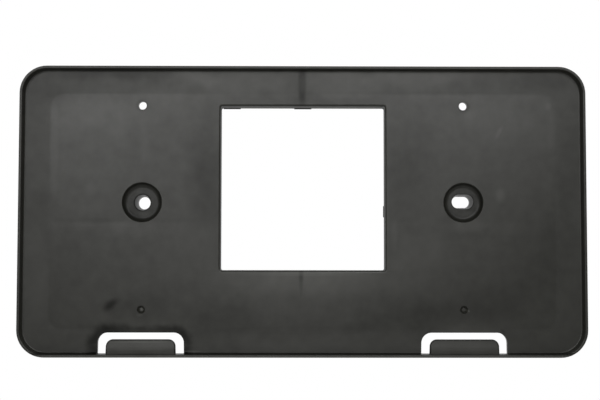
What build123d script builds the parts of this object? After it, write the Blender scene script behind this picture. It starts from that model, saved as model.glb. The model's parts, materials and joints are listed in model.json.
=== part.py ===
"""Front number plate holder, moulded in one piece.

A shallow tray with a raised rim takes the number plate. Two tongues on the lower rim hold the plate's
bottom edge, and two holes near the top take its screws. Two round recesses take the screws that fix the
holder to the bumper. The back has a frame of ribs, a collar round the window and two standoffs.

Millimetres. X runs across the car, Y from the front of the car towards its back, and Z up. The origin is
halfway across between the two fixing holes and level with the round one, on the plane where the standoffs
meet the bumper. A height below is a distance in front of that plane, so it runs along -Y.
"""

import os
from math import atan, cos, degrees, radians, sin, tan

from build123d import *

# Outline and sheet
holder_width = 312.0
holder_height = 160.0
corner_radius = 15.0
sheet_thickness = 2.5
outline_drop = 4.8  # the outline's middle lies this far below the fixing holes

# Rim round the tray
rim_height = 4.5
rim_top_width = 1.5
rim_draft = 5.5  # degrees, on the inner side
rim_edge_round = 0.4
rim_foot_fillet = 0.8

# Screws of the plate, and the blind marks for two more
screw_pitch = 177.8  # seven inches, across the car
plate_hole_diameter = 4.5
plate_hole_rise = 53.7
pilot_diameter = 4.4
pilot_floor_diameter = 2.0
pilot_depth = 1.8
pilot_drop = 59.0

# Recesses and standoffs for the bumper's screws
standoff_length = 10.0  # from the bumper to the recess floor
standoff_wall = 3.5
standoff_draft = 1.0  # degrees
standoff_end_chamfer = 0.5
recess_diameter = 22.0
recess_depth = 3.0
recess_draft = 22.0  # degrees
recess_fillet = 2.4
recess_edge_round = 0.4
recess_wall = 2.2
recess_floor_thickness = 2.5
fixing_hole_diameter = 7.0
fixing_slot_length = 10.3
fixing_slot_width = 6.4
fixing_slot_rise = 0.7  # above the round hole
lead_in_width = 0.9
lead_in_depth = 6.5
lead_in_chamfer = 0.35

# Window in the middle
window_width = 91.2
window_height = 91.0
window_rise = 8.0
window_corner_radius = 1.0
window_edge_round = 1.2
collar_thickness = 2.0

# Stubs that cut gates left on the window's back edge: two at the top and one on the right
stub_reach = 0.4
stub_thickness = 1.0
top_stub_length = 9.6
top_stub_inset = 1.0  # from the window's left corner to the first stub
side_stub_length = 6.2
side_stub_drop = 12.7  # below the window's middle

# Slots in the sheet, and the tongues in front of them
slot_width = 47.5  # at the rim
slot_height = 11.55
slot_side_angle = 89.0  # degrees, between the rim and the slot's sides
slot_corner_radius = 5.6
tongue_pitch = 177.0
tongue_width = 38.4
tongue_reach = 8.3
tongue_thickness = 1.4  # at the root
tongue_drop = 1.3  # from the rim's top to the tongue's front
tongue_upright = 2.0  # from the rim to where the front begins to lean back
tongue_lean = 4.5  # degrees
tongue_bend_radius = 25.0
tongue_corner_radius = 3.9
tongue_side_angle = 88.0  # degrees, between the rim and the tongue's sides
tongue_edge_round = 0.8

# Ribs on the back
rib_thickness = 1.8
rib_height = 7.0
rib_draft = 0.75  # degrees
frame_side_inset = 16.0
frame_top_inset = 15.0
frame_corner_radius = 8.0
frame_slot_gap = 0.8
screw_room = 6.0  # round the plate's screws, free of ribs

# Heights in front of the bumper
recess_floor_height = standoff_length
face_height = recess_floor_height + recess_depth
back_height = face_height - sheet_thickness
rim_top_height = face_height + rim_height
rib_end_height = back_height - rib_height
recess_back_height = recess_floor_height - recess_floor_thickness
tongue_front_height = rim_top_height - tongue_drop
tongue_back_height = tongue_front_height - tongue_thickness
tongue_middle_height = tongue_front_height - tongue_thickness / 2

# Places across and up the holder
screw_side = screw_pitch / 2
outline_top = holder_height / 2 - outline_drop
outline_bottom = outline_top - holder_height
rim_slope = tan(radians(rim_draft))
rim_foot_width = rim_top_width + rim_height * rim_slope
slot_bottom = outline_bottom + rim_top_width + (rim_top_height - tongue_middle_height) * rim_slope
slot_top = slot_bottom + slot_height
frame_right = holder_width / 2 - frame_side_inset
frame_top = outline_top - frame_top_inset
frame_bottom = slot_top + frame_slot_gap + rib_thickness / 2
recess_floor_radius = recess_diameter / 2 - recess_depth * tan(radians(recess_draft))
standoff_middle_radius = (fixing_hole_diameter + standoff_wall) / 2
sides = (-1, 1)


def level(height):
    """Plane across the holder at a height in front of the bumper, seen from the front."""
    return Plane.XZ.offset(height)


def block(outline, low, high, taper=0.0):
    """Solid from an outline at the low height up to the high one. A taper above zero narrows it."""
    return extrude(level(low) * outline, amount=high - low, taper=taper)


def rear_block(outline, start, end, taper):
    """Solid from an outline at the start height towards the bumper, narrowing by the taper."""
    return extrude(level(start) * outline, amount=start - end, dir=(0, 1, 0), taper=taper)


def edges_at(part, height):
    """Edges that lie wholly at one height."""
    tolerance = 1e-4
    return part.edges().filter_by_position(Axis.Y, -height - tolerance, -height + tolerance)


def rounded(width, height, radius):
    """Rounded rectangle about the outline's middle."""
    return Pos(0, -outline_drop) * RectangleRounded(width, height, radius)


def make_tray():
    """Sheet with the raised rim round it, its edges rounded and its foot filleted."""
    tray = block(rounded(holder_width, holder_height, corner_radius), back_height, rim_top_height)
    inside = rounded(
        holder_width - 2 * rim_foot_width,
        holder_height - 2 * rim_foot_width,
        corner_radius - rim_foot_width,
    )
    tray -= block(inside, face_height, rim_top_height, taper=-rim_draft)
    tray = fillet(edges_at(tray, face_height), rim_foot_fillet)
    return fillet(edges_at(tray, rim_top_height), rim_edge_round)


def rib_run(start, end):
    """Outline of a straight rib between two points on its middle line."""
    length = abs(end[0] - start[0]) + abs(end[1] - start[1])
    middle = Pos((start[0] + end[0]) / 2, (start[1] + end[1]) / 2)
    if start[0] == end[0]:
        return middle * Rectangle(rib_thickness, length)
    return middle * Rectangle(length, rib_thickness)


def make_frame():
    """Closed rib that runs round the back, inside the sheet's edge and above the slots."""
    width = 2 * frame_right
    height = frame_top - frame_bottom
    middle = Pos(0, (frame_top + frame_bottom) / 2)
    outside = RectangleRounded(
        width + rib_thickness, height + rib_thickness, frame_corner_radius + rib_thickness / 2
    )
    inside = RectangleRounded(
        width - rib_thickness, height - rib_thickness, frame_corner_radius - rib_thickness / 2
    )
    return rear_block(middle * (outside - inside), back_height, rib_end_height, rib_draft)


def make_ribs():
    """Straight ribs that tie each standoff to the frame and to the collar round the window."""
    collar_middle = window_width / 2 + collar_thickness / 2
    cross_drop = recess_diameter / 2
    ribs = Part()
    for side in sides:
        screw_x = side * screw_side
        runs = (
            rib_run((screw_x, standoff_middle_radius), (screw_x, plate_hole_rise - screw_room)),
            rib_run((screw_x, -standoff_middle_radius), (screw_x, screw_room - pilot_drop)),
            rib_run((side * collar_middle, -cross_drop), (side * frame_right, -cross_drop)),
        )
        for run in runs:
            ribs += rear_block(run, back_height, rib_end_height, rib_draft)
    return ribs


def make_collar():
    """Wall behind the window's edge, as deep as the ribs."""
    outline = Pos(0, window_rise) * RectangleRounded(
        window_width + 2 * collar_thickness,
        window_height + 2 * collar_thickness,
        window_corner_radius + collar_thickness,
    )
    return rear_block(outline, back_height, rib_end_height, rib_draft)


def fixing_outline(side, growth=0.0):
    """Outline of a fixing hole, round on the left and slotted on the right, grown all round."""
    if side < 0:
        return Pos(-screw_side, 0) * Circle(fixing_hole_diameter / 2 + growth)
    slot = SlotOverall(fixing_slot_length + 2 * growth, fixing_slot_width + 2 * growth)
    return Pos(screw_side, fixing_slot_rise) * slot


def make_standoff(side):
    """Cup behind a recess, and the sleeve that stands from it to the bumper."""
    cup_outline = Pos(side * screw_side, 0) * Circle(recess_diameter / 2 + recess_wall)
    cup = rear_block(cup_outline, back_height, recess_back_height, standoff_draft)
    sleeve = rear_block(fixing_outline(side, standoff_wall), recess_floor_height, 0, standoff_draft)
    sleeve = chamfer(edges_at(sleeve, 0), standoff_end_chamfer)
    return cup + sleeve


def recess_cut(side):
    """Round recess in the face with a sloping wall and a filleted floor."""
    lip_radius = recess_diameter / 2
    profile = Polyline(
        (0, -recess_floor_height),
        (recess_floor_radius, -recess_floor_height),
        (lip_radius, -face_height),
        (lip_radius, -rim_top_height),
        (0, -rim_top_height),
        close=True,
    )
    section = make_face(profile)
    corner = section.vertices().sort_by_distance((recess_floor_radius, -recess_floor_height, 0))[0]
    section = fillet(corner, recess_fillet)
    return Pos(side * screw_side, 0, 0) * revolve(section, Axis.Y)


def fixing_cut(side):
    """Fixing hole through a standoff, with a lead-in from the recess floor and a chamfered mouth."""
    slope = degrees(atan(lead_in_width / lead_in_depth))
    lead_start = recess_floor_height - lead_in_depth
    mouth_start = recess_floor_height - lead_in_chamfer
    mouth_growth = lead_in_width * (1 - lead_in_chamfer / lead_in_depth)
    hole = block(fixing_outline(side), 0, recess_floor_height)
    hole += block(fixing_outline(side), lead_start, recess_floor_height, taper=-slope)
    return hole + block(fixing_outline(side, mouth_growth), mouth_start, recess_floor_height, taper=-45)


def screw_cut(side):
    """Hole for a plate screw, and the blind conical mark for a lower one."""
    hole_place = Pos(side * screw_side, plate_hole_rise)
    pilot_place = Pos(side * screw_side, -pilot_drop)
    pilot_slope = degrees(atan((pilot_diameter - pilot_floor_diameter) / (2 * pilot_depth)))
    pilot_floor = pilot_place * Circle(pilot_floor_diameter / 2)
    hole = block(hole_place * Circle(plate_hole_diameter / 2), back_height, face_height)
    pilot = block(pilot_floor, face_height - pilot_depth, face_height, taper=-pilot_slope)
    return hole + pilot


def slot_cut(side):
    """Slot through the sheet behind a tongue, with its upper corners rounded."""
    outline = Trapezoid(slot_width, slot_height, slot_side_angle)
    outline = fillet(outline.vertices().group_by(Axis.Y)[-1], slot_corner_radius)
    place = Pos(side * screw_side, (slot_top + slot_bottom) / 2)
    return block(place * outline, back_height, rim_top_height)


def window_cut():
    """Square window through the sheet and its collar."""
    outline = RectangleRounded(window_width, window_height, window_corner_radius)
    return block(Pos(0, window_rise) * outline, rib_end_height, face_height)


def make_stubs():
    """Thin stubs of the gates, along the back of the window's top and right walls."""
    window_right = window_width / 2
    top_rise = window_rise + (window_height - stub_reach) / 2
    top_outline = Rectangle(top_stub_length, stub_reach)
    side_outline = Rectangle(stub_reach, side_stub_length)
    outlines = (
        Pos(top_stub_inset + top_stub_length / 2 - window_right, top_rise) * top_outline,
        Pos(0, top_rise) * top_outline,
        Pos(window_right - stub_reach / 2, window_rise - side_stub_drop) * side_outline,
    )
    stubs = Part()
    for outline in outlines:
        stubs += block(outline, rib_end_height, rib_end_height + stub_thickness)
    return stubs


def tongue_section():
    """Side view of a tongue: upright at its root, then bent so that its front leans back to the tip."""
    root = outline_bottom + rim_top_width / 2
    bend = outline_bottom + rim_top_width + tongue_upright
    tip = outline_bottom + rim_top_width + tongue_reach
    lean = radians(tongue_lean)
    bend_end = bend + tongue_bend_radius * sin(lean)
    front = -tongue_front_height
    back = -tongue_back_height
    bent_front = front + tongue_bend_radius * (1 - cos(lean))
    tip_front = bent_front + (tip - bend_end) * tan(lean)
    upright = Line((front, root), (front, bend))
    arc = RadiusArc((front, bend), (bent_front, bend_end), tongue_bend_radius)
    slope = Line((bent_front, bend_end), (tip_front, tip))
    rest = Polyline((tip_front, tip), (back, tip), (back, root), (front, root))
    return make_face([upright, arc, slope, rest])


def make_tongue(side):
    """Tongue that stands up from the lower rim, in front of its slot, with rounded front edges."""
    root = outline_bottom + rim_top_width / 2
    height = rim_top_width / 2 + tongue_reach
    outline = Trapezoid(tongue_width, height, tongue_side_angle)
    outline = fillet(outline.vertices().group_by(Axis.Y)[-1], tongue_corner_radius)
    place = Pos(side * tongue_pitch / 2, root + height / 2)
    flat = block(place * outline, tongue_back_height, tongue_front_height)
    bent = extrude(Plane.YZ * tongue_section(), amount=holder_width / 2, both=True)
    tongue = flat & bent
    front_faces = tongue.faces().filter_by(lambda face: face.normal_at().Y < -0.9)
    front_edges = front_faces.edges()
    across = front_edges.filter_by(Axis.X)
    tip_edge = across.sort_by(Axis.Z)[-1:]
    return fillet(front_edges - across + tip_edge, tongue_edge_round)


def round_window_edge(part):
    """Rounds the window's front edge."""
    half_width = window_width / 2
    half_height = window_height / 2
    front_edges = edges_at(part, face_height)
    across = front_edges.filter_by_position(Axis.X, -half_width, half_width)
    around = across.filter_by_position(Axis.Z, window_rise - half_height, window_rise + half_height)
    return fillet(around, window_edge_round)


def round_recess_lips(part):
    """Rounds the lip of each recess."""
    slack = 0.2
    face_edges = edges_at(part, face_height)
    lips = face_edges.filter_by(lambda edge: abs(edge.bounding_box().size.X - recess_diameter) < slack)
    return fillet(lips, recess_edge_round)


def make_holder():
    """The whole moulding."""
    holder = make_tray() + make_frame() + make_ribs() + make_collar()
    for side in sides:
        holder += make_standoff(side)
    holder -= window_cut()
    for side in sides:
        holder -= recess_cut(side)
        holder -= fixing_cut(side)
        holder -= screw_cut(side)
        holder -= slot_cut(side)
    holder = round_window_edge(holder)
    holder = round_recess_lips(holder)
    holder += make_stubs()
    for side in sides:
        holder += make_tongue(side)
    return holder


os.makedirs("parts", exist_ok=True)
export_step(make_holder().solid(), "parts/plate_holder.step")
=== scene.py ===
"""Finish of a moulded number plate holder, and the studio stage that shows it."""

import json
from collections import namedtuple
from math import radians

import bpy
from bpy.props import FloatProperty, FloatVectorProperty, PointerProperty
from bpy.types import Operator, Panel, PropertyGroup
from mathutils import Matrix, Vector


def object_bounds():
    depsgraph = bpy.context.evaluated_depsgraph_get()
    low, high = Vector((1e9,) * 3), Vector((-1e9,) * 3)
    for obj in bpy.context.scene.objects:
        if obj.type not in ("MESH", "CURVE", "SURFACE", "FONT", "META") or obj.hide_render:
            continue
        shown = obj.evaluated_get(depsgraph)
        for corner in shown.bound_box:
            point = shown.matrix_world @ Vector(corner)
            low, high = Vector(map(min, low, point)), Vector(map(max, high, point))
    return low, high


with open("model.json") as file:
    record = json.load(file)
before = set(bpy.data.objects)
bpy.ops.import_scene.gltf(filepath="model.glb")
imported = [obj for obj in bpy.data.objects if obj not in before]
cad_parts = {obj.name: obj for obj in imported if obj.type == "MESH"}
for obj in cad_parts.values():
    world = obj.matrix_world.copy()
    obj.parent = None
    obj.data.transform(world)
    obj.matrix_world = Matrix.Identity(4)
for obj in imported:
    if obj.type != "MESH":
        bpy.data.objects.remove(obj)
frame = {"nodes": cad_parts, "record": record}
cad_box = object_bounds()

bl_info = {
    "name": "Number Plate Holder",
    "version": (1, 0, 0),
    "blender": (4, 5, 0),
    "location": "View3D > Sidebar > Plate Holder",
    "description": "Finishes the moulded number plate holder and sets a studio stage round it",
    "category": "Object",
}

HOLDER = "plate_holder"
WHITE = (1.0, 1.0, 1.0, 1.0)
LAMPS = ("left", "right", "front")
MILLIMETRE = 0.001

# Places that the frame gives: the face that the plate lies on, how far the screws are from the middle,
# and the lower edge
PLACES = {mount["name"]: mount["pos_m"] for mount in frame["record"]["mounts"]}
FACE_Y = PLACES["plate_seat"][1]
SCREW_X = -PLACES["fixing_hole"][0]
LOWER_EDGE_Z = cad_box[0].z

# Rounded rectangles across the face, in metres: middle, half size and corner radius. The slots and the
# tongues are the same on both sides, and those on the right are given. Only the upper half of the slot's
# outline counts, since its middle is on the lower edge
Outline = namedtuple("Outline", "x z half_wide half_high corner")
RIB_FRAME = Outline(0.0, -0.00483, 0.140, 0.06503, 0.008)
WINDOW = Outline(0.0, 0.008, 0.0456, 0.0455, 0.001)
ROUND_HOLE = Outline(-SCREW_X, 0.0, 0.0044, 0.0044, 0.0044)
SLOTTED_HOLE = Outline(SCREW_X, 0.0007, 0.00515, 0.0032, 0.0032)
SLOT = Outline(SCREW_X, LOWER_EDGE_Z, 0.02375, 0.0132, 0.0056)
TONGUE = Outline(0.0885, -0.0825, 0.0190, 0.0075, 0.0039)
ACROSS_FACE = (1.0, 0.0, 1.0)
ANY_DEPTH = 1.0

# Each smooth change below runs from its first number to its second, in metres where nothing else is said.
# Its value goes from 0 to 1, or from the third number to the fourth

# Depths that part the rim and the tongues from the face, and the face from what lies behind it
BEHIND_RIM = (FACE_Y - 0.0010, FACE_Y - 0.0004)
PROUD_OF_FACE = (FACE_Y - 0.0004, FACE_Y - 0.0010)
BEFORE_RECESS = (FACE_Y + 0.0012, FACE_Y + 0.0004)
BELOW_FACE = (FACE_Y + 0.0004, FACE_Y + 0.0012)
FRONT_EDGES = (FACE_Y + 0.0028, FACE_Y + 0.0020)
BEHIND_WINDOW_EDGE = (FACE_Y + 0.0006, FACE_Y + 0.0014)

# Ribs that read through the face, and the share of the sink's depth by side and by height
CROSS_RIB_Z = -0.011
UPRIGHT_RIB_X = SCREW_X
WINDOW_SIDE_X = 0.0466
SINK_BY_SIDE = (-0.10, -0.05, 1.0, 0.5)
SINK_BY_HEIGHT = (0.045, 0.058, 1.0, 0.4)
OUTSIDE_RIB_FRAME = (-0.001, 0.001)
ON_WINDOW_WALL = (0.0008, 0.0003)

# Recess floors, their rubs, painted shade along their lower edges and a darker ring round their holes
RECESS_RADIUS = 0.0112
RECESS_EDGE = (RECESS_RADIUS, RECESS_RADIUS - 0.0005)
RECESS_RUB_SIZE = 0.0013
RECESS_LOWER_SHADE_RADIUS = 0.0088
RECESS_LOWER_SHADE_WIDTH = 0.0022
RECESS_LOWER_SHADE_HEIGHT = (-0.001, -0.006)
HOLE_RING_WIDTH = 0.0010

# Stain round the left slot: its width and shade change with the distance from the slot's middle, from side
# to side and with the height. Its edge and its waver are shares of its width
STAIN_WIDTH_FROM_MIDDLE = (0.002, 0.020, 0.72, 1.0)
STAIN_WIDTH_BY_SIDE = (-0.11, -0.07, 1.0, 0.75)
STAIN_SHADE_FROM_MIDDLE = (0.002, 0.016, 0.62, 1.0)
STAIN_SHADE_BY_HEIGHT = (-0.080, -0.073, 0.82, 1.06)
STAIN_ON_LEFT = (0.0, -0.05)
STAIN_EDGE = (1.1, 0.25)
STAIN_WAVER = 0.2

# Painted shade along the foot of the lower rim, full over a share of its width, and on the tongues' edges
RIM_FOOT_Z = -0.0828
RIM_FOOT_SHADE_CORE = 0.4
BESIDE_SLOT = (0.0, 0.001)
TONGUE_ROOT_Z = -0.083
TONGUE_EDGE = (-0.0010, -0.0004)
TONGUE_SIDE = (0.001, 0.0005)
ABOVE_TONGUE_ROOT = (TONGUE_ROOT_Z, TONGUE_ROOT_Z + 0.0005)

# Detail and roughness of each kind of noise, and the sheen of plain plastic
SOFT_NOISE = (2.0, 0.5)
CLOUD_NOISE = (4.0, 0.65)
RUB_NOISE = (3.0, 0.6)
NOISE_MIDDLE = 0.5
PLAIN_SPECULAR = 0.5

# Room, floor and camera: the room's zones are given by the part of a direction that points back, and the
# floor fades over shares of its radius
ROOM_BACK_HALF = (-0.25, 0.3)
ROOM_BACKDROP = (0.75, 0.92)
FLOOR_FADE = (0.35, 0.9)
FLOOR_BEHIND = (0.0, 0.4)
FLOOR_SIDES = 128
SENSOR_WIDTH = 36.0
NEAREST_SIGHT = 0.01

# Marks, in millimetres and degrees: place, half size and turn across the face, where the soft edge begins
# as a share of the half size, and how much paler (above zero) or darker (below zero) the plastic is there
Mark = namedtuple("Mark", "label x z wide high turn core shade")

# Lines, rubs, smears and darker spots on the face, with a few painted highlights
LINE_MARKS = (
    Mark("weld line above the window", -0.4, 66.0, 3.2, 20.0, 0, 0.3, -0.34),
    Mark("weld line below the window", -0.9, -40.0, 1.8, 15.0, 0, 0.2, -0.34),
    Mark("dark spot on the lower weld line", -0.9, -41.3, 2.4, 3.4, 0, 0.1, -0.20),
    # Painted highlight along the rounded lower edge of the window
    Mark("pale line under the window", -2.0, -39.5, 46.0, 1.4, 0, 0.3, 0.18),
    Mark("dull line above the lower border", 0.0, -70.4, 62.0, 3.0, 0, 0.5, -0.06),
    Mark("pale line inside the rib frame, left", -137.5, 30.0, 3.2, 36.0, 0, 0.3, 0.10),
    Mark("pale line inside the rib frame, right", 138.0, 40.0, 4.0, 26.0, 0, 0.2, 0.08),
    Mark("pale line above the left recess", -88.5, 33.0, 3.0, 18.0, 0, 0.2, 0.06),
    Mark("pale strip by the window's lower right", 50.5, -18.0, 2.6, 13.0, 0, 0.2, 0.12),
    Mark("crescent under the left recess", -94.0, -14.5, 20.0, 7.0, 0, 0.2, 0.14),
    Mark("crescent under the right recess", 92.5, -13.0, 14.0, 5.0, 8, 0.2, 0.12),
    Mark("rub by the right hole", 92.0, 49.0, 7.0, 4.0, 20, 0.1, 0.14),
    Mark("rub above the right recess", 108.9, 39.4, 1.8, 6.0, -28, 0.1, 0.22),
    Mark("rub at the upper right", 136.3, 53.4, 2.6, 3.6, 0, 0.1, 0.18),
    Mark("rub beside the right recess", 109.4, 4.4, 4.2, 6.0, 0, 0.1, 0.34),
    Mark("rub beside the left recess", -117.5, 6.8, 5.0, 7.0, 0, 0.1, 0.14),
    Mark("smear by the left slot", -105.9, -56.5, 6.4, 3.8, 42, 0.1, -0.46),
    Mark("tail of the smear by the left slot", -102.4, -54.2, 4.4, 2.8, 20, 0.1, -0.16),
    Mark("faint smear by the left slot", -98.0, -57.0, 5.0, 4.0, 0, 0.1, -0.08),
    Mark("pale line right of the right recess", 112.0, -14.5, 36.0, 5.0, 0, 0.0, 0.06),
    Mark("dirt round the left plate hole", -89.2, 53.9, 4.2, 4.2, 0, 0.5, -0.28),
    Mark("dirt round the right plate hole", 89.4, 53.5, 4.2, 4.2, 0, 0.5, -0.28),
    # Painted highlight on the rim's foot fillet beside the left slot
    Mark("pale line along the rim beside the left slot", -60.2, -81.8, 6.5, 0.6, 0, 0.4, 0.45),
    # Painted highlight on a lip under the left pilot
    Mark("pale lip under the left pilot", -89.6, -61.9, 2.6, 1.5, 0, 0.2, 0.20),
    Mark("dull corner of the right slot, inner", 69.4, -71.2, 3.2, 1.6, 40, 0.2, -0.22),
    Mark("dull corner of the right slot, outer", 110.3, -70.9, 2.8, 1.6, -40, 0.2, -0.22),
)

# Broad patches on the face, whose edges waver
CLOUD_MARKS = (
    Mark("pale cloud above the window, left", -36.0, 66.5, 34.0, 9.0, 0, 0.3, 0.20),
    Mark("pale cloud above the window, right", 20.0, 65.5, 30.0, 11.0, 0, 0.3, 0.20),
    Mark("pale cloud above the right hole", 68.0, 69.0, 30.0, 8.0, 0, 0.2, 0.22),
    Mark("pale spot over the window's left corner", -59.0, 70.0, 18.0, 8.0, 0, 0.2, 0.22),
    Mark("pale spot over the window's right corner", 44.0, 67.0, 15.0, 8.0, 0, 0.2, 0.17),
    Mark("pale spot beside the upper weld line", -12.5, 63.0, 10.0, 10.0, 0, 0.1, 0.12),
    Mark("dull strip over the window", 16.0, 56.5, 46.0, 5.0, 0, 0.3, -0.10),
    Mark("dull patch at the top left", -104.0, 72.5, 42.0, 8.0, 0, 0.2, -0.28),
    Mark("dull corner at the upper left", -140.0, 66.0, 26.0, 14.0, 0, 0.3, -0.12),
    Mark("dull corner at the upper right", 136.0, 68.0, 26.0, 10.0, 0, 0.3, -0.15),
    Mark("pale upper left bay", -114.0, 48.0, 38.0, 16.0, 0, 0.2, 0.13),
    Mark("pale patch by the left hole", -74.0, 56.0, 28.0, 14.0, 0, 0.2, 0.11),
    Mark("pale upper right bay", 112.0, 46.0, 38.0, 24.0, 0, 0.2, 0.11),
    Mark("dull strip left of the window", -53.0, 14.0, 15.0, 46.0, 0, 0.1, -0.22),
    Mark("dull strip right of the window", 57.0, 20.0, 22.0, 42.0, 0, 0.1, -0.17),
    Mark("pale patch beside the window, lower right", 66.0, -28.0, 28.0, 24.0, 0, 0.2, 0.12),
    Mark("pale patch beside the window, lower left", -66.0, -26.0, 24.0, 26.0, 0, 0.2, 0.08),
    Mark("pale band under the window", 2.0, -41.0, 74.0, 17.0, 0, 0.0, 0.51),
    Mark("pale patch under the weld line", 1.0, -54.0, 24.0, 12.0, 0, 0.2, 0.10),
    Mark("dull patch left of the middle", -42.0, -65.0, 42.0, 12.0, 0, 0.0, -0.17),
    Mark("dull spot beside the left slot", -55.0, -71.0, 10.0, 10.0, 0, 0.2, -0.08),
    Mark("dull patch right of the middle", 52.0, -65.0, 40.0, 13.0, 0, 0.0, -0.19),
    Mark("dull streak right of the middle", 34.0, -69.5, 24.0, 4.5, 0, 0.1, -0.08),
    Mark("dull patch left of the right slot", 68.0, -60.0, 20.0, 13.0, 0, 0.2, -0.12),
    Mark("pale strip above the right slot", 92.0, -69.5, 24.0, 5.0, 0, 0.3, 0.12),
    Mark("pale strip along the bottom", 3.0, -78.0, 44.0, 6.0, 0, 0.2, 0.12),
    Mark("dull patch by the left pilot", -88.0, -57.0, 30.0, 13.0, 0, 0.1, -0.17),
    Mark("dull patch by the right pilot", 98.0, -57.0, 36.0, 14.0, 0, 0.2, -0.17),
    Mark("dull patch below the right recess", 118.0, -46.0, 20.0, 16.0, 0, 0.1, -0.07),
    Mark("dull patch at the lower right", 137.0, -24.0, 24.0, 46.0, 0, 0.2, -0.13),
    Mark("dull patch at the lower left", -130.0, -30.0, 18.0, 24.0, 0, 0.2, -0.06),
    Mark("pale border at the lower left", -149.0, -42.0, 12.0, 40.0, 0, 0.4, 0.09),
    Mark("pale border at the lower right", 149.0, -34.0, 8.0, 18.0, 0, 0.3, 0.07),
    Mark("dull border beside the left recess", -149.0, -1.0, 14.0, 10.0, 0, 0.4, -0.08),
    Mark("dull border beside the right recess", 148.0, 16.0, 12.0, 36.0, 0, 0.3, -0.09),
)

# Rubs on the floors of the recesses
RECESS_MARKS = (
    Mark("pale rub under the round hole", -88.4, -6.6, 5.4, 2.6, 0, 0.2, 0.13),
    Mark("pale rub under the slotted hole", 91.4, -6.1, 6.0, 2.8, 0, 0.2, 0.22),
)

# Painted highlights on the rim, tongues and pilots, and painted shade at the tongues' roots and window's
# edge
EDGE_MARKS = (
    # Painted highlight on the rounded lower edge of the rim
    Mark("rubbed lower edge of the rim", 0.0, -84.3, 400.0, 0.9, 0, 0.5, 0.46),
    # Painted shade in the creases at the roots of the tongues
    Mark("dirt at the root of the left tongue", -88.5, -83.0, 24.0, 0.4, 0, 0.4, -0.30),
    Mark("dirt at the root of the right tongue", 88.5, -83.0, 24.0, 0.4, 0, 0.4, -0.30),
    # Painted shade on the rounded lower edge of the window
    Mark("dull lower edge of the window", 0.0, -37.8, 60.0, 0.9, 0, 0.4, -0.30),
    # Painted highlights on the tips and the upper parts of the tongues
    Mark("rubbed line on the left tongue", -88.5, -76.3, 30.0, 0.7, 0, 0.3, 0.40),
    Mark("rubbed band on the left tongue", -88.5, -78.4, 32.0, 2.8, 0, 0.6, 0.24),
    Mark("rubbed band on the right tongue", 88.5, -78.6, 32.0, 3.0, 0, 0.5, 0.14),
    # Painted highlights on the right walls of the pilots
    Mark("worn side of the left pilot", -88.5, -59.0, 1.8, 0.9, -20, 0.3, 0.60),
    Mark("worn side of the right pilot", 90.8, -59.5, 1.8, 0.9, -20, 0.3, 0.70),
)


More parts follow.
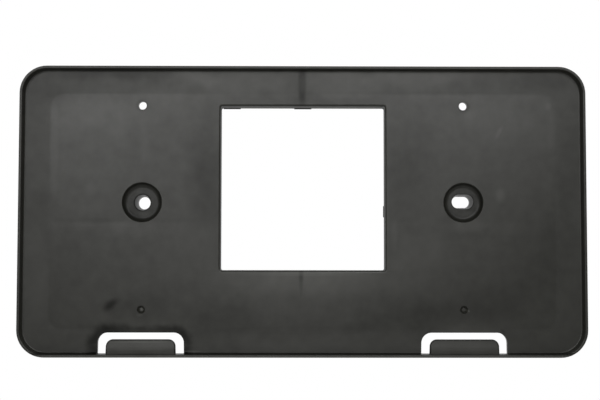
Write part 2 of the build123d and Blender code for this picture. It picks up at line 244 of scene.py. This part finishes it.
class MouldingFinish(PropertyGroup):
    """Colour, sheen and surface of the moulded plastic."""

    plastic_colour: FloatVectorProperty(
        name="Plastic colour",
        description="Colour of the plain charcoal plastic",
        subtype="COLOR",
        size=4,
        min=0.0,
        max=1.0,
        default=(0.030, 0.030, 0.0245, 1.0),
    )
    roughness: FloatProperty(
        name="Roughness",
        description="Roughness of the face inside the rib frame",
        subtype="FACTOR",
        min=0.0,
        max=1.0,
        default=0.39,
    )
    border_roughness: FloatProperty(
        name="Border roughness",
        description="Roughness that is added outside the rib frame",
        subtype="FACTOR",
        min=0.0,
        max=0.5,
        default=0.06,
    )
    wall_roughness: FloatProperty(
        name="Window wall roughness",
        description="Roughness that is added on the walls of the window",
        subtype="FACTOR",
        min=0.0,
        max=0.5,
        default=0.2,
    )
    grain_size: FloatProperty(
        name="Grain size",
        description="Spacing of the fine moulded grain",
        subtype="DISTANCE",
        unit="LENGTH",
        min=0.0001,
        max=0.01,
        default=0.0006,
        precision=5,
    )
    grain_depth: FloatProperty(
        name="Grain depth",
        description="Depth of the fine moulded grain",
        subtype="DISTANCE",
        unit="LENGTH",
        min=0.0,
        max=0.001,
        default=0.000008,
        precision=6,
    )
    cloud_size: FloatProperty(
        name="Cloud size",
        description="Spacing of the soft clouds in the plastic's tone",
        subtype="DISTANCE",
        unit="LENGTH",
        min=0.005,
        max=0.5,
        default=0.045,
    )
    cloud_shade: FloatProperty(
        name="Cloud shade",
        description="How far the clouds lighten or darken the plastic",
        subtype="FACTOR",
        min=0.0,
        max=1.0,
        default=0.10,
    )
    mottle_size: FloatProperty(
        name="Mottle size",
        description="Spacing of the faint blotches in the plastic's tone",
        subtype="DISTANCE",
        unit="LENGTH",
        min=0.001,
        max=0.1,
        default=0.007,
    )
    mottle_shade: FloatProperty(
        name="Mottle shade",
        description="How far the faint blotches lighten or darken the plastic",
        subtype="FACTOR",
        min=0.0,
        max=1.0,
        default=0.17,
    )
    cloud_drift_size: FloatProperty(
        name="Cloud drift size",
        description="Spacing of the waver in the edges of the clouds",
        subtype="DISTANCE",
        unit="LENGTH",
        min=0.002,
        max=0.2,
        default=0.018,
    )
    cloud_drift: FloatProperty(
        name="Cloud drift",
        description="How far the edges of the clouds waver",
        subtype="DISTANCE",
        unit="LENGTH",
        min=0.0,
        max=0.05,
        default=0.006,
    )
    sink_depth: FloatProperty(
        name="Sink depth",
        description="Depth to which the face sinks along the ribs behind it",
        subtype="DISTANCE",
        unit="LENGTH",
        min=0.0,
        max=0.001,
        default=0.00003,
        precision=6,
    )
    sink_width: FloatProperty(
        name="Sink width",
        description="Width from the middle of a sink mark to its edge",
        subtype="DISTANCE",
        unit="LENGTH",
        min=0.0005,
        max=0.02,
        default=0.003,
    )
    # Painted shade on the floors of the screw recesses
    recess_shade: FloatProperty(
        name="Recess shade",
        description="How far the floors of the screw recesses are darker than the face, as painted shade",
        subtype="FACTOR",
        min=0.0,
        max=1.0,
        default=0.31,
    )
    # Painted light and shade across the recesses' floors
    recess_lean: FloatProperty(
        name="Recess lean",
        description="How far the recesses' floors are darker outwards and paler inwards",
        subtype="FACTOR",
        min=0.0,
        max=1.0,
        default=0.08,
    )
    recess_rub: FloatProperty(
        name="Recess rub",
        description="How far the screw heads have scuffed the floors of the recesses lighter and darker",
        subtype="FACTOR",
        min=0.0,
        max=1.0,
        default=0.14,
    )
    hole_edge_ring: FloatProperty(
        name="Hole edge ring",
        description="How far the edges of the holes in the recesses are darker still",
        subtype="FACTOR",
        min=0.0,
        max=1.0,
        default=0.30,
    )
    # Painted shade along the lower edges of the recesses' floors
    recess_lower_shade: FloatProperty(
        name="Recess lower shade",
        description="How far the lower edges of the recesses' floors are darker still",
        subtype="FACTOR",
        min=0.0,
        max=1.0,
        default=0.15,
    )
    stain_width: FloatProperty(
        name="Stain width",
        description="Width of the dark edge round the left slot",
        subtype="DISTANCE",
        unit="LENGTH",
        min=0.0,
        max=0.02,
        default=0.0074,
    )
    stain_shade: FloatProperty(
        name="Stain shade",
        description="How far the edge round the left slot is darker than the face",
        subtype="FACTOR",
        min=0.0,
        max=1.0,
        default=0.57,
    )
    # Painted shade along the foot of the lower rim
    rim_foot_shade_width: FloatProperty(
        name="Rim foot shade width",
        description="Width from the middle of the painted shade along the lower rim to its edge",
        subtype="DISTANCE",
        unit="LENGTH",
        min=0.0001,
        max=0.01,
        default=0.0009,
        precision=4,
    )
    rim_foot_shade_amount: FloatProperty(
        name="Rim foot shade amount",
        description="How far the painted shade along the lower rim is darker than the face",
        subtype="FACTOR",
        min=0.0,
        max=1.0,
        default=0.45,
    )
    # Painted shade on the edges of the tongues
    tongue_edge_shade: FloatProperty(
        name="Tongue edge shade",
        description="How far the edges of the tongues are darker than the face, as painted shade",
        subtype="FACTOR",
        min=0.0,
        max=1.0,
        default=0.5,
    )


class StudioStage(PropertyGroup):
    """Floor, light and camera round the holder."""

    floor_drop: FloatProperty(
        name="Floor drop",
        description="Height of the held part above the floor",
        subtype="DISTANCE",
        unit="LENGTH",
        min=0.0,
        max=2.0,
        default=0.45,
    )
    floor_radius: FloatProperty(
        name="Floor radius",
        description="Radius of the round floor",
        subtype="DISTANCE",
        unit="LENGTH",
        min=0.2,
        max=5.0,
        default=1.5,
    )
    floor_colour: FloatVectorProperty(
        name="Floor colour",
        description="Pale colour of the floor",
        subtype="COLOR",
        size=4,
        min=0.0,
        max=1.0,
        default=(0.68, 0.68, 0.68, 1.0),
    )
    floor_glow: FloatProperty(
        name="Floor glow",
        description="How far the floor under the holder is lifted to the white of the background in a view",
        subtype="FACTOR",
        min=0.0,
        max=1.0,
        default=0.55,
    )
    room_light: FloatProperty(
        name="Room light",
        description="Level of the even light that comes from the front half of the room",
        subtype="UNSIGNED",
        min=0.0,
        max=2.0,
        default=0.1,
    )
    back_light: FloatProperty(
        name="Back light",
        description="Level of the even light that comes from the back half of the room",
        subtype="UNSIGNED",
        min=0.0,
        max=2.0,
        default=0.5,
    )
    left_place: FloatVectorProperty(
        name="Left light place",
        description="Middle of the soft light in front, on the left",
        subtype="XYZ",
        unit="LENGTH",
        size=3,
        default=(-0.330, -0.906, 0.264),
    )
    left_power: FloatProperty(
        name="Left light power",
        description="Power of the soft light in front, on the left",
        unit="POWER",
        min=0.0,
        max=500.0,
        default=2.0,
    )
    right_place: FloatVectorProperty(
        name="Right light place",
        description="Middle of the soft light in front, on the right",
        subtype="XYZ",
        unit="LENGTH",
        size=3,
        default=(0.212, -0.903, 0.373),
    )
    right_power: FloatProperty(
        name="Right light power",
        description="Power of the soft light in front, on the right",
        unit="POWER",
        min=0.0,
        max=500.0,
        default=2.6,
    )
    front_place: FloatVectorProperty(
        name="Front light place",
        description="Middle of the weak soft light level with the camera",
        subtype="XYZ",
        unit="LENGTH",
        size=3,
        default=(0.0, -1.0, 0.0),
    )
    front_power: FloatProperty(
        name="Front light power",
        description="Power of the weak soft light level with the camera",
        unit="POWER",
        min=0.0,
        max=500.0,
        default=0.49,
    )
    lamp_size: FloatProperty(
        name="Lamp size",
        description="Width of each round soft light",
        subtype="DISTANCE",
        unit="LENGTH",
        min=0.05,
        max=3.0,
        default=0.4,
    )
    camera_place: FloatVectorProperty(
        name="Camera place",
        description="Where the camera stands",
        subtype="XYZ",
        unit="LENGTH",
        size=3,
        precision=5,
        default=(-0.00542, -0.56514, -0.02456),
    )
    camera_turn: FloatVectorProperty(
        name="Camera turn",
        description="Rotation of the camera about each axis",
        subtype="EULER",
        unit="ROTATION",
        size=3,
        default=(radians(92.694), radians(-0.073), radians(-0.403)),
    )
    camera_lens: FloatProperty(
        name="Camera lens",
        description="Focal length in millimetres on a sensor 36 mm wide",
        unit="CAMERA",
        min=10.0,
        max=300.0,
        default=60.0,
    )


class NodeBench:
    """Adds nodes to one tree and joins them. A socket given as a value is linked, else the value is set."""

    def __init__(self, tree):
        self.tree = tree
        tree.nodes.clear()

    def add(self, kind, values=None, **settings):
        """Adds a node with its settings, and its inputs by name or number."""
        made = self.tree.nodes.new(kind)
        for name, setting in settings.items():
            setattr(made, name, setting)
        for name, value in (values or {}).items():
            self.join(made.inputs[name], value)
        return made

    def join(self, socket, value):
        """Links another node's socket to this one, or sets this one."""
        if isinstance(value, bpy.types.NodeSocket):
            self.tree.links.new(value, socket)
        else:
            socket.default_value = value

    def math(self, operation, first, second=0.0):
        """One operation on two numbers."""
        return self.add("ShaderNodeMath", {0: first, 1: second}, operation=operation).outputs[0]

    def total(self, first, *others):
        """Sum of several numbers."""
        for value in others:
            first = self.math("ADD", first, value)
        return first

    def product(self, first, *others):
        """Product of several numbers."""
        for value in others:
            first = self.math("MULTIPLY", first, value)
        return first

    def vector(self, operation, first, second=(0.0, 0.0, 0.0), output=0):
        """One operation on two vectors."""
        made = self.add("ShaderNodeVectorMath", {0: first, 1: second}, operation=operation)
        return made.outputs[output]

    def part(self, vector, axis):
        """One part of a vector."""
        return self.add("ShaderNodeSeparateXYZ", {"Vector": vector}).outputs[axis]

    def fade(self, value, start, end, low=0.0, high=1.0):
        """Smooth change from low to high as a value goes from start to end."""
        values = {"Value": value, "From Min": start, "From Max": end, "To Min": low, "To Max": high}
        return self.add("ShaderNodeMapRange", values, interpolation_type="SMOOTHSTEP").outputs["Result"]

    def line(self, value, place, width, core=0.0):
        """Soft line that is one within a core round a place and fades to zero at its width."""
        away = self.math("ABSOLUTE", self.math("SUBTRACT", value, place))
        return self.fade(away, width, core)

    def noise(self, point, spacing, kind=SOFT_NOISE, output="Fac"):
        """Noise between 0 and 1 with features about one spacing apart."""
        detail, roughness = kind
        values = {"Vector": point, "Scale": 1.0 / spacing, "Detail": detail, "Roughness": roughness}
        return self.add("ShaderNodeTexNoise", values).outputs[output]

    def swing(self, noise, amount):
        """Noise between 0 and 1 as a swing of up to an amount either way."""
        return self.math("MULTIPLY", self.math("SUBTRACT", noise, NOISE_MIDDLE), 2.0 * amount)


def mark_group():
    """Node group that adds one soft oval mark, turned in the plane of the face, to a shade."""
    group = bpy.data.node_groups.new("face_mark", "ShaderNodeTree")
    sockets = {"Shade": "Float", "Point": "Vector", "Middle": "Vector", "Half": "Vector", "Turn": "Float"}
    sockets.update({"Core": "Float", "Amount": "Float"})
    for name, kind in sockets.items():
        group.interface.new_socket(name, in_out="INPUT", socket_type="NodeSocket" + kind)
    group.interface.new_socket("Shade", in_out="OUTPUT", socket_type="NodeSocketFloat")
    bench = NodeBench(group)
    given = bench.add("NodeGroupInput").outputs
    offset = bench.vector("SUBTRACT", given["Point"], given["Middle"])
    turned = bench.add(
        "ShaderNodeVectorRotate",
        {"Vector": offset, "Angle": given["Turn"]},
        rotation_type="Y_AXIS",
    )
    share = bench.vector("DIVIDE", turned.outputs[0], given["Half"])
    length = bench.vector("LENGTH", share, output="Value")
    added = bench.product(bench.fade(length, 1.0, given["Core"]), given["Amount"])
    bench.add("NodeGroupOutput", {"Shade": bench.total(given["Shade"], added)})
    return group


def add_marks(bench, shade, point, group, marks):
    """Shade with some marks added to it."""
    flat = bench.vector("MULTIPLY", point, ACROSS_FACE)
    for mark in marks:
        values = {
            "Shade": shade,
            "Point": flat,
            "Middle": (mark.x * MILLIMETRE, 0.0, mark.z * MILLIMETRE),
            "Half": (mark.wide * MILLIMETRE, ANY_DEPTH, mark.high * MILLIMETRE),
            "Turn": radians(mark.turn),
            "Core": mark.core,
            "Amount": mark.shade,
        }
        patch = bench.add("ShaderNodeGroup", values, node_tree=group, label=mark.label)
        shade = patch.outputs["Shade"]
    return shade


def rounded_distance(bench, point, outline):
    """Distance across the face from a rounded rectangle, above zero outside it."""
    middle = (outline.x, 0.0, outline.z)
    straight = (outline.half_wide - outline.corner, ANY_DEPTH, outline.half_high - outline.corner)
    offset = bench.vector("ABSOLUTE", bench.vector("SUBTRACT", point, middle))
    past = bench.vector("SUBTRACT", offset, straight)
    outside = bench.vector("LENGTH", bench.vector("MAXIMUM", past), output="Value")
    inside = bench.math("MINIMUM", bench.math("MAXIMUM", bench.part(past, "X"), bench.part(past, "Z")))
    return bench.total(outside, inside, -outline.corner)


def mirrored_point(bench, point):
    """The point with both sides of the holder laid on the right one."""
    side = bench.math("ABSOLUTE", bench.part(point, "X"))
    return bench.add("ShaderNodeCombineXYZ", {"X": side, "Z": bench.part(point, "Z")}).outputs[0]


def sink_marks(bench, point, frame_distance, finish):
    """How far the face sinks along the rib frame, the cross ribs and the upright ribs, from 0 to 1."""
    across = bench.part(point, "X")
    from_middle = bench.math("ABSOLUTE", across)
    height = bench.part(point, "Z")
    width = finish.sink_width
    past_window = bench.fade(from_middle, WINDOW_SIDE_X - width, WINDOW_SIDE_X + width)
    cross_lines = bench.product(bench.line(height, CROSS_RIB_Z, width), past_window)
    upright_lines = bench.line(from_middle, UPRIGHT_RIB_X, width)
    inside_frame = bench.fade(frame_distance, 0.0, -width)
    inner_lines = bench.product(bench.math("MAXIMUM", cross_lines, upright_lines), inside_frame)
    lines = bench.math("MAXIMUM", bench.line(frame_distance, 0.0, width), inner_lines)
    return bench.product(lines, bench.fade(across, *SINK_BY_SIDE), bench.fade(height, *SINK_BY_HEIGHT))


def slot_stain(bench, point, slot_distance, finish):
    """Shade of the dark edge round the left slot, widest at its outer side and thin along its top."""
    across = bench.part(point, "X")
    from_middle = bench.math("ABSOLUTE", bench.math("ADD", across, SLOT.x))
    width = bench.product(
        bench.fade(from_middle, *STAIN_WIDTH_FROM_MIDDLE),
        bench.fade(across, *STAIN_WIDTH_BY_SIDE),
        finish.stain_width,
    )
    return bench.product(
        bench.fade(bench.math("DIVIDE", slot_distance, width), *STAIN_EDGE),
        bench.fade(from_middle, *STAIN_SHADE_FROM_MIDDLE),
        bench.fade(bench.part(point, "Z"), *STAIN_SHADE_BY_HEIGHT),
        bench.fade(across, *STAIN_ON_LEFT, 0.0, finish.stain_shade),
    )


def rim_foot_shade(bench, point, slot_distance, finish):
    """Painted shade along the foot of the lower rim, apart from the tongues."""
    width = finish.rim_foot_shade_width
    line = bench.line(bench.part(point, "Z"), RIM_FOOT_Z, width, RIM_FOOT_SHADE_CORE * width)
    return bench.product(line, bench.fade(slot_distance, *BESIDE_SLOT, 0.0, finish.rim_foot_shade_amount))


def tongue_edges(bench, point, mirrored, depth, finish):
    """Painted shade on the edges of the tongues."""
    distance = rounded_distance(bench, mirrored, TONGUE)
    return bench.product(
        bench.fade(distance, *TONGUE_EDGE, 0.0, finish.tongue_edge_shade),
        bench.fade(distance, *TONGUE_SIDE),
        bench.fade(bench.part(point, "Z"), *ABOVE_TONGUE_ROOT),
        bench.fade(depth, *PROUD_OF_FACE),
    )


def window_walls(bench, point, depth):
    """One on the walls of the window, behind its rounded front edge, else zero."""
    distance = rounded_distance(bench, point, WINDOW)
    return bench.product(bench.fade(distance, *ON_WINDOW_WALL), bench.fade(depth, *BEHIND_WINDOW_EDGE))


def recess_shade(bench, point, depth, group, finish):
    """Painted shade on the recess floors, deeper along their lower edges, with scuffs and darker rings round
    the holes.
    """
    flat = bench.vector("ABSOLUTE", bench.vector("MULTIPLY", point, ACROSS_FACE))
    from_middle = bench.vector("SUBTRACT", flat, (SCREW_X, 0.0, 0.0))
    radius = bench.vector("LENGTH", from_middle, output="Value")
    outward = bench.part(from_middle, "X")
    # Painted light and shade: the floors are darker outwards and paler inwards
    lean = bench.fade(outward, -RECESS_RADIUS, RECESS_RADIUS, -finish.recess_lean, finish.recess_lean)
    rub = bench.swing(bench.noise(point, RECESS_RUB_SIZE, RUB_NOISE), finish.recess_rub)
    # Painted shade along the lower edges of the recesses' floors
    lower_half = bench.fade(bench.part(point, "Z"), *RECESS_LOWER_SHADE_HEIGHT, 0.0, finish.recess_lower_shade)
    darkening = bench.product(bench.line(radius, RECESS_LOWER_SHADE_RADIUS, RECESS_LOWER_SHADE_WIDTH), lower_half)
    holes = [rounded_distance(bench, point, hole) for hole in (ROUND_HOLE, SLOTTED_HOLE)]
    hole_edge = bench.line(bench.math("MINIMUM", *holes), 0.0, HOLE_RING_WIDTH)
    hole_ring = bench.product(hole_edge, finish.hole_edge_ring)
    darker = bench.total(finish.recess_shade, lean, rub, darkening, hole_ring)
    shade = bench.math("SUBTRACT", darker, add_marks(bench, 0.0, point, group, RECESS_MARKS))
    return bench.product(bench.fade(radius, *RECESS_EDGE), bench.fade(depth, *BELOW_FACE), shade)


def plastic_tone(bench, point, depth, on_face, finish):
    """Share of the plain colour and sheen each place keeps: clouds, marks, stains, painted highlights and
    painted shade.
    """
    clouds = bench.noise(point, finish.cloud_size, CLOUD_NOISE)
    mottle = bench.noise(point, finish.mottle_size)
    wander = bench.noise(point, finish.cloud_drift_size, output="Color")
    drift = bench.vector("SUBTRACT", wander, [NOISE_MIDDLE] * 3)
    drifted = bench.vector("ADD", point, bench.vector("MULTIPLY", drift, [2.0 * finish.cloud_drift] * 3))
    group = mark_group()
    face_marks = add_marks(bench, 0.0, point, group, LINE_MARKS)
    face_marks = add_marks(bench, face_marks, drifted, group, CLOUD_MARKS)
    # Painted highlights and painted shade on the rim, the tongues, the window's edge and the pilots
    edge_marks = add_marks(bench, 0.0, point, group, EDGE_MARKS)
    paler = bench.total(
        bench.swing(clouds, finish.cloud_shade),
        bench.swing(mottle, finish.mottle_shade),
        bench.product(face_marks, on_face),
        bench.product(edge_marks, bench.fade(depth, *FRONT_EDGES)),
    )
    mirrored = mirrored_point(bench, point)
    slot_distance = rounded_distance(bench, mirrored, SLOT)
    waver = bench.swing(mottle, STAIN_WAVER * finish.stain_width)
    stain = slot_stain(bench, point, bench.total(slot_distance, waver), finish)
    # Painted shade in the recesses, along the lower rim and on the tongues' edges, with the stain round the
    # left slot
    darker = bench.total(
        recess_shade(bench, point, depth, group, finish),
        bench.product(stain, on_face),
        rim_foot_shade(bench, point, slot_distance, finish),
        tongue_edges(bench, point, mirrored, depth, finish),
    )
    return bench.math("SUBTRACT", bench.total(paler, 1.0), darker)


def moulded_plastic(finish):
    """Charcoal plastic with a fine grain, soft clouds, marks of moulding and handling, and painted
    highlights and shade.
    """
    material = bpy.data.materials.new("charcoal_plastic_finish")
    material.use_nodes = True
    bench = NodeBench(material.node_tree)
    point = bench.add("ShaderNodeTexCoord").outputs["Object"]
    depth = bench.part(point, "Y")
    on_face = bench.product(bench.fade(depth, *BEHIND_RIM), bench.fade(depth, *BEFORE_RECESS))
    frame_distance = rounded_distance(bench, point, RIB_FRAME)

    # The tone holds painted highlights and painted shade as well as clouds, marks and stains, and scales
    # colour and sheen
    tone = plastic_tone(bench, point, depth, on_face, finish)
    colour = bench.add(
        "ShaderNodeMix",
        {"Factor": 1.0, "A": finish.plastic_colour, "B": tone},
        data_type="RGBA",
        blend_type="MULTIPLY",
    )
    border = bench.fade(frame_distance, *OUTSIDE_RIB_FRAME, 0.0, finish.border_roughness)
    walls = bench.product(window_walls(bench, point, depth), finish.wall_roughness)

    # The relief is in metres, so the bump takes it at its full height
    sink = bench.product(sink_marks(bench, point, frame_distance, finish), on_face, -finish.sink_depth)
    grain = bench.product(bench.noise(point, finish.grain_size), finish.grain_depth)
    relief = {"Height": bench.total(sink, grain), "Strength": 1.0, "Distance": 1.0}
    plastic = bench.add(
        "ShaderNodeBsdfPrincipled",
        {
            "Base Color": colour.outputs["Result"],
            "Roughness": bench.total(finish.roughness, border, walls),
            "Specular IOR Level": bench.product(tone, PLAIN_SPECULAR),
            "Normal": bench.add("ShaderNodeBump", relief).outputs["Normal"],
        },
    )
    bench.add("ShaderNodeOutputMaterial", {"Surface": plastic.outputs["BSDF"]})
    return material


def add_soft_light(name, place, power, size):
    """Round soft light that faces the holder's middle."""
    lamp = bpy.data.lights.new(name, "AREA")
    lamp.shape = "DISK"
    lamp.size = size
    lamp.energy = power
    light = bpy.data.objects.new(name, lamp)
    bpy.context.scene.collection.objects.link(light)
    light.location = place
    towards = (cad_box[0] + cad_box[1]) / 2 - light.location
    light.rotation_euler = towards.to_track_quat("-Z", "Y").to_euler()


def seen_rays(bench, path):
    """One for rays that look at the background straight or through something clear, else zero."""
    return bench.math("MAXIMUM", path["Is Camera Ray"], path["Is Transmission Ray"])


def set_room(stage):
    """Even room light, stronger behind, with a white backdrop straight behind and white in each view."""
    world = bpy.data.worlds.new("room")
    bpy.context.scene.world = world
    world.use_nodes = True
    bench = NodeBench(world.node_tree)
    path = bench.add("ShaderNodeLightPath").outputs
    direction = bench.add("ShaderNodeTexCoord").outputs["Generated"]
    away = bench.part(direction, "Y")
    level = bench.fade(away, *ROOM_BACK_HALF, stage.room_light, stage.back_light)
    white = bench.math("MAXIMUM", seen_rays(bench, path), bench.fade(away, *ROOM_BACKDROP))
    even = bench.add("ShaderNodeBackground", {"Color": WHITE, "Strength": level})
    backdrop = bench.add("ShaderNodeBackground", {"Color": WHITE, "Strength": 1.0})
    mixed = bench.add("ShaderNodeMixShader", {0: white, 1: even.outputs[0], 2: backdrop.outputs[0]})
    bench.add("ShaderNodeOutputWorld", {"Surface": mixed.outputs[0]})


def floor_finish(stage):
    """Pale floor that takes the holder's shadow and fades to the white background at its edge."""
    material = bpy.data.materials.new("pale_floor")
    material.use_nodes = True
    bench = NodeBench(material.node_tree)
    path = bench.add("ShaderNodeLightPath").outputs
    point = bench.add("ShaderNodeTexCoord").outputs["Object"]
    radius = bench.vector("LENGTH", bench.vector("MULTIPLY", point, (1.0, 1.0, 0.0)), output="Value")
    start, end = (share * stage.floor_radius for share in FLOOR_FADE)
    far = bench.fade(radius, start, end, stage.floor_glow, 1.0)
    behind = bench.product(path["Is Glossy Ray"], bench.fade(bench.part(point, "Y"), *FLOOR_BEHIND))
    white = bench.product(far, bench.math("MAXIMUM", seen_rays(bench, path), behind))
    paint = bench.add("ShaderNodeBsdfDiffuse", {"Color": stage.floor_colour})
    backdrop = bench.add("ShaderNodeEmission", {"Color": WHITE, "Strength": 1.0})
    mixed = bench.add("ShaderNodeMixShader", {0: white, 1: paint.outputs[0], 2: backdrop.outputs[0]})
    bench.add("ShaderNodeOutputMaterial", {"Surface": mixed.outputs[0]})
    return material


def add_floor(stage):
    """Round floor below the held part."""
    bpy.ops.object.select_all(action="DESELECT")
    bpy.ops.mesh.primitive_circle_add(
        vertices=FLOOR_SIDES,
        radius=stage.floor_radius,
        fill_type="NGON",
        location=(0.0, 0.0, LOWER_EDGE_Z - stage.floor_drop),
    )
    floor = bpy.context.object
    floor.name = "floor"
    bpy.ops.object.transform_apply(location=True, rotation=True, scale=True)
    floor.data.materials.append(floor_finish(stage))


def add_camera(stage):
    """Camera at the reference picture's viewing angle."""
    data = bpy.data.cameras.new("camera")
    data.lens = stage.camera_lens
    data.sensor_width = SENSOR_WIDTH
    data.clip_start = NEAREST_SIGHT
    camera = bpy.data.objects.new("camera", data)
    bpy.context.scene.collection.objects.link(camera)
    camera.location = stage.camera_place
    camera.rotation_euler = stage.camera_turn
    bpy.context.scene.camera = camera


class HOLDER_OT_finish_moulding(Operator):
    """Give the moulded holder its charcoal plastic"""

    bl_idname = "holder.finish_moulding"
    bl_label = "Finish the Moulding"

    def execute(self, context):
        material = moulded_plastic(context.scene.moulding_finish)
        for slot in frame["nodes"][HOLDER].material_slots:
            slot.material = material
        return {"FINISHED"}


class HOLDER_OT_set_stage(Operator):
    """Set the floor, the light and the camera round the holder"""

    bl_idname = "holder.set_stage"
    bl_label = "Set the Stage"

    def execute(self, context):
        stage = context.scene.studio_stage
        context.scene.view_settings.view_transform = "Standard"
        set_room(stage)
        add_floor(stage)
        for side in LAMPS:
            place = getattr(stage, side + "_place")
            power = getattr(stage, side + "_power")
            add_soft_light(side + "_light", place, power, stage.lamp_size)
        add_camera(stage)
        return {"FINISHED"}


class HOLDER_PT_panel(Panel):
    """Settings and steps of the number plate holder"""

    bl_label = "Number Plate Holder"
    bl_idname = "HOLDER_PT_panel"
    bl_space_type = "VIEW_3D"
    bl_region_type = "UI"
    bl_category = "Plate Holder"

    def draw(self, context):
        steps = (
            (context.scene.moulding_finish, HOLDER_OT_finish_moulding),
            (context.scene.studio_stage, HOLDER_OT_set_stage),
        )
        for settings, step in steps:
            box = self.layout.box()
            for name in settings.bl_rna.properties.keys():
                if name not in ("rna_type", "name"):
                    box.prop(settings, name)
            box.operator(step.bl_idname)


CLASSES = (
    MouldingFinish,
    StudioStage,
    HOLDER_OT_finish_moulding,
    HOLDER_OT_set_stage,
    HOLDER_PT_panel,
)


def register():
    """Adds the classes and their settings to Blender."""
    for each in CLASSES:
        bpy.utils.register_class(each)
    bpy.types.Scene.moulding_finish = PointerProperty(type=MouldingFinish)
    bpy.types.Scene.studio_stage = PointerProperty(type=StudioStage)


def unregister():
    """Takes the settings and the classes out again."""
    del bpy.types.Scene.studio_stage
    del bpy.types.Scene.moulding_finish
    for each in reversed(CLASSES):
        bpy.utils.unregister_class(each)


def main():
    """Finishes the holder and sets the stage."""
    register()
    bpy.ops.holder.finish_moulding()
    bpy.ops.holder.set_stage()


if __name__ == "__main__":
    main()
